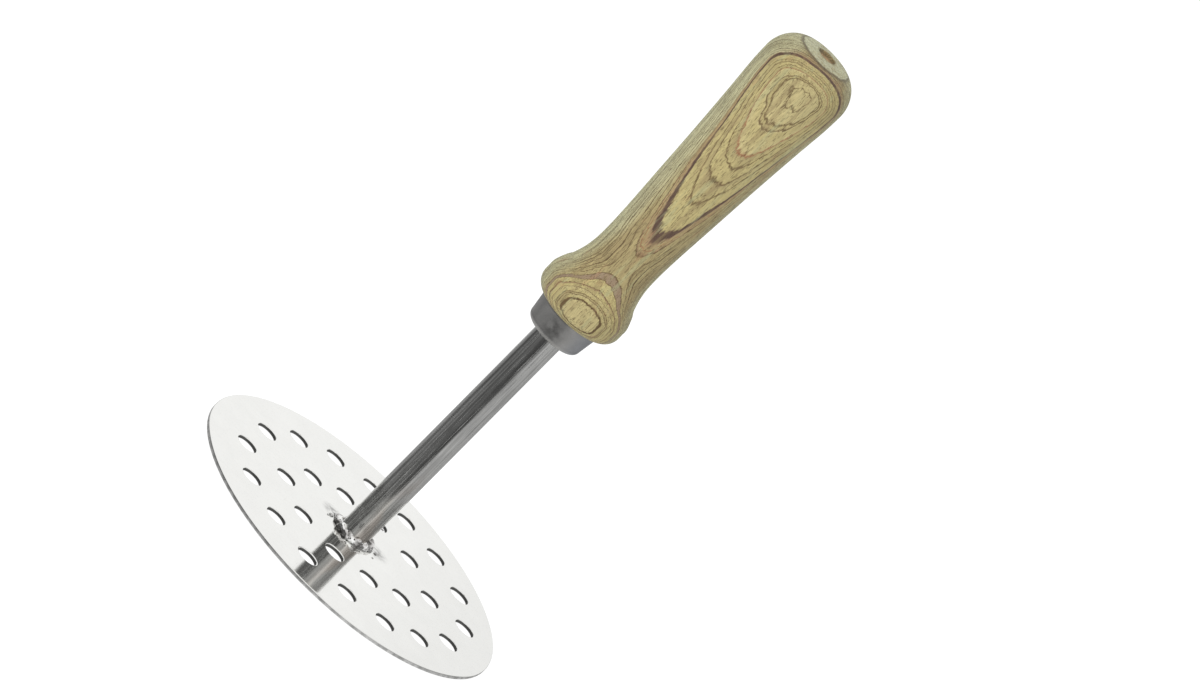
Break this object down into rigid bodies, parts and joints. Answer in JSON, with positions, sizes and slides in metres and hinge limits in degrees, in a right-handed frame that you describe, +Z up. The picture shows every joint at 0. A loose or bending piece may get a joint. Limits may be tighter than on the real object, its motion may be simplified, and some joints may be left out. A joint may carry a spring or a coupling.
{
  "type": "potato masher",
  "caption": "Hand potato masher: round flat pressing disc with punched holes, straight steel tube, steel ferrule and turned wooden handle.",
  "frame": {"origin": "centre of the disc's underside, the face that presses on the food", "axes": "+Z runs up the tube to the butt of the handle; X and Y lie in the disc, and the front view looks along +Y"},
  "size_m": [0.113, 0.113, 0.2097],
  "materials": {
    "polished_disc": "polished stainless steel, fine scratches",
    "weld_metal": "rippled weld with heat tint",
    "tube_steel": "polished along its length, fine draw lines",
    "ferrule_steel": "dull satin drawn steel",
    "pin_steel": "bright drawn wire",
    "handle_wood": "bare turned hardwood with dark figure, sanded matt"
  },
  "bodies": {
    "root": {"mashing_disc": "polished_disc", "weld_bead": "weld_metal", "shaft_tube": "tube_steel", "ferrule": "ferrule_steel", "retaining_pin": "pin_steel", "handle": "handle_wood"}
  },
  "joints": []
}
